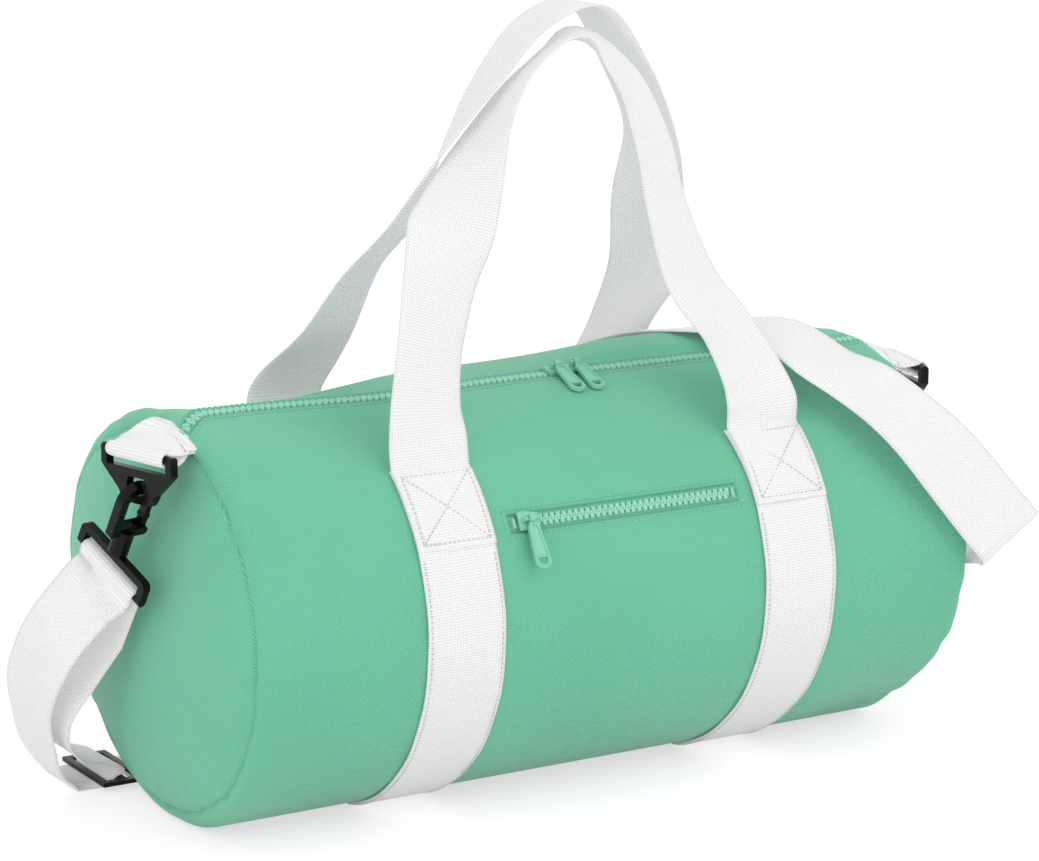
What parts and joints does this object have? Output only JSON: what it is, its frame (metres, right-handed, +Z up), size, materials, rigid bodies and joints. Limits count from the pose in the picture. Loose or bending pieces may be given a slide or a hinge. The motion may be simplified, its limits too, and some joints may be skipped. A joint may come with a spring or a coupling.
{
  "type": "barrel bag",
  "caption": "Soft barrel bag in green twill with white webbing handles, zipped top and front pocket, and a shoulder strap on black snap hooks.",
  "frame": {"origin": "middle of the rest face, under the middle of the barrel, on the surface that the bag lies on", "axes": "+X along the barrel towards its right end, -Y towards the front with the pocket, +Z up through the main zip"},
  "size_m": [0.6315, 0.3239, 0.4592],
  "materials": {
    "mint_twill": "fine diagonal twill, matt",
    "mint_lining": "plain weave, matt",
    "mint_teeth": "moulded teeth on woven tape, satin",
    "mint_slider": "enamelled, satin",
    "white_webbing": "ribbed webbing, matt",
    "black_moulded": "injection moulded, glossy"
  },
  "bodies": {
    "bag": {"body_panel": "mint_twill", "end_panel_left": "mint_twill", "end_panel_right": "mint_twill", "seam_binding_left": "mint_lining", "seam_binding_right": "mint_lining", "pocket_lining": "mint_lining", "main_zip_front": "mint_teeth", "main_zip_rear": "mint_teeth", "main_zip_stops": "mint_teeth", "pocket_zip_upper": "mint_teeth", "pocket_zip_lower": "mint_teeth", "pocket_zip_stops": "mint_teeth", "band_left": "white_webbing", "band_right": "white_webbing", "tab_left": "white_webbing", "tab_right": "white_webbing", "shoulder_strap": "white_webbing", "slide_adjuster": "black_moulded"},
    "main_slider_left": {"main_slider_left": "mint_slider"},
    "main_slider_right": {"main_slider_right": "mint_slider"},
    "main_puller_left": {"main_puller_left": "mint_slider"},
    "main_puller_right": {"main_puller_right": "mint_slider"},
    "pocket_slider": {"pocket_slider": "mint_slider"},
    "pocket_puller": {"pocket_puller": "mint_slider"},
    "handle_front": {"handle_front": "white_webbing"},
    "handle_rear": {"handle_rear": "white_webbing"},
    "ring_left": {"ring_left": "black_moulded"},
    "ring_right": {"ring_right": "black_moulded"},
    "hook_left": {"hook_left": "black_moulded"},
    "hook_right": {"hook_right": "black_moulded"},
    "swivel_base_left": {"swivel_base_left": "black_moulded"},
    "swivel_base_right": {"swivel_base_right": "black_moulded"},
    "gate_left": {"gate_left": "black_moulded"},
    "gate_right": {"gate_right": "black_moulded"}
  },
  "joints": [
    {"name": "main_slider_left_slide", "type": "slide", "parent": "bag", "child": "main_slider_left", "axis": [1, 0, 0], "range_m": [-0.222, 0]},
    {"name": "main_slider_right_slide", "type": "slide", "parent": "bag", "child": "main_slider_right", "axis": [1, 0, 0], "range_m": [0, 0.1854]},
    {"name": "main_puller_left_flip", "type": "hinge", "parent": "main_slider_left", "child": "main_puller_left", "pos_m": [0.0115, -0.02116, 0.24601], "axis": [-1, 0, 0], "range_deg": [0, 150]},
    {"name": "main_puller_right_flip", "type": "hinge", "parent": "main_slider_right", "child": "main_puller_right", "pos_m": [0.0251, -0.02116, 0.24601], "axis": [-1, 0, 0], "range_deg": [0, 150]},
    {"name": "pocket_slider_slide", "type": "slide", "parent": "bag", "child": "pocket_slider", "axis": [1, 0, 0], "range_m": [0, 0.132]},
    {"name": "pocket_puller_flip", "type": "hinge", "parent": "pocket_slider", "child": "pocket_puller", "pos_m": [-0.0652, -0.11907, 0.18095], "axis": [-1, 0, 0], "range_deg": [0, 150]},
    {"name": "handle_front_fold", "type": "hinge", "parent": "bag", "child": "handle_front", "pos_m": [0, -0.0912, 0.21532], "axis": [1, 0, 0], "range_deg": [0, 140]},
    {"name": "handle_rear_fold", "type": "hinge", "parent": "bag", "child": "handle_rear", "pos_m": [0, 0.0912, 0.21532], "axis": [-1, 0, 0], "range_deg": [0, 140]},
    {"name": "ring_left_swing", "type": "hinge", "parent": "bag", "child": "ring_left", "pos_m": [-0.265, -0.03, 0.224], "axis": [-0.2334, 0.9724, 0], "range_deg": [0, 60], "deforming": ["shoulder_strap"]},
    {"name": "hook_left_swing", "type": "hinge", "parent": "ring_left", "child": "hook_left", "pos_m": [-0.265, -0.03, 0.205], "axis": [0.9724, 0.2334, 0], "range_deg": [-30, 5], "deforming": ["shoulder_strap"]},
    {"name": "swivel_left_turn", "type": "hinge", "parent": "hook_left", "child": "swivel_base_left", "pos_m": [-0.27048, -0.00717, 0.16085], "axis": [0.1096, -0.4565, 0.8829], "range_deg": [-25, 8], "deforming": ["shoulder_strap"]},
    {"name": "gate_left_press", "type": "hinge", "parent": "hook_left", "child": "gate_left", "pos_m": [-0.2588, -0.01427, 0.17895], "axis": [0.2061, -0.8586, -0.4695], "range_deg": [0, 20], "stiffness_Nm_per_rad": 0.02, "springref_deg": -11.46},
    {"name": "ring_right_swing", "type": "hinge", "parent": "bag", "child": "ring_right", "pos_m": [0.265, -0.03, 0.224], "axis": [-0.2334, -0.9724, 0], "range_deg": [0, 60], "deforming": ["shoulder_strap"]},
    {"name": "hook_right_swing", "type": "hinge", "parent": "ring_right", "child": "hook_right", "pos_m": [0.265, -0.03, 0.205], "axis": [0.9724, -0.2334, 0], "range_deg": [-30, 5], "deforming": ["shoulder_strap"]},
    {"name": "swivel_right_turn", "type": "hinge", "parent": "hook_right", "child": "swivel_base_right", "pos_m": [0.27048, -0.00717, 0.16085], "axis": [0.1096, 0.4565, -0.8829], "range_deg": [-25, 8], "deforming": ["shoulder_strap"]},
    {"name": "gate_right_press", "type": "hinge", "parent": "hook_right", "child": "gate_right", "pos_m": [0.2588, -0.01427, 0.17895], "axis": [0.2061, 0.8586, 0.4695], "range_deg": [0, 20], "stiffness_Nm_per_rad": 0.02, "springref_deg": -11.46}
  ]
}
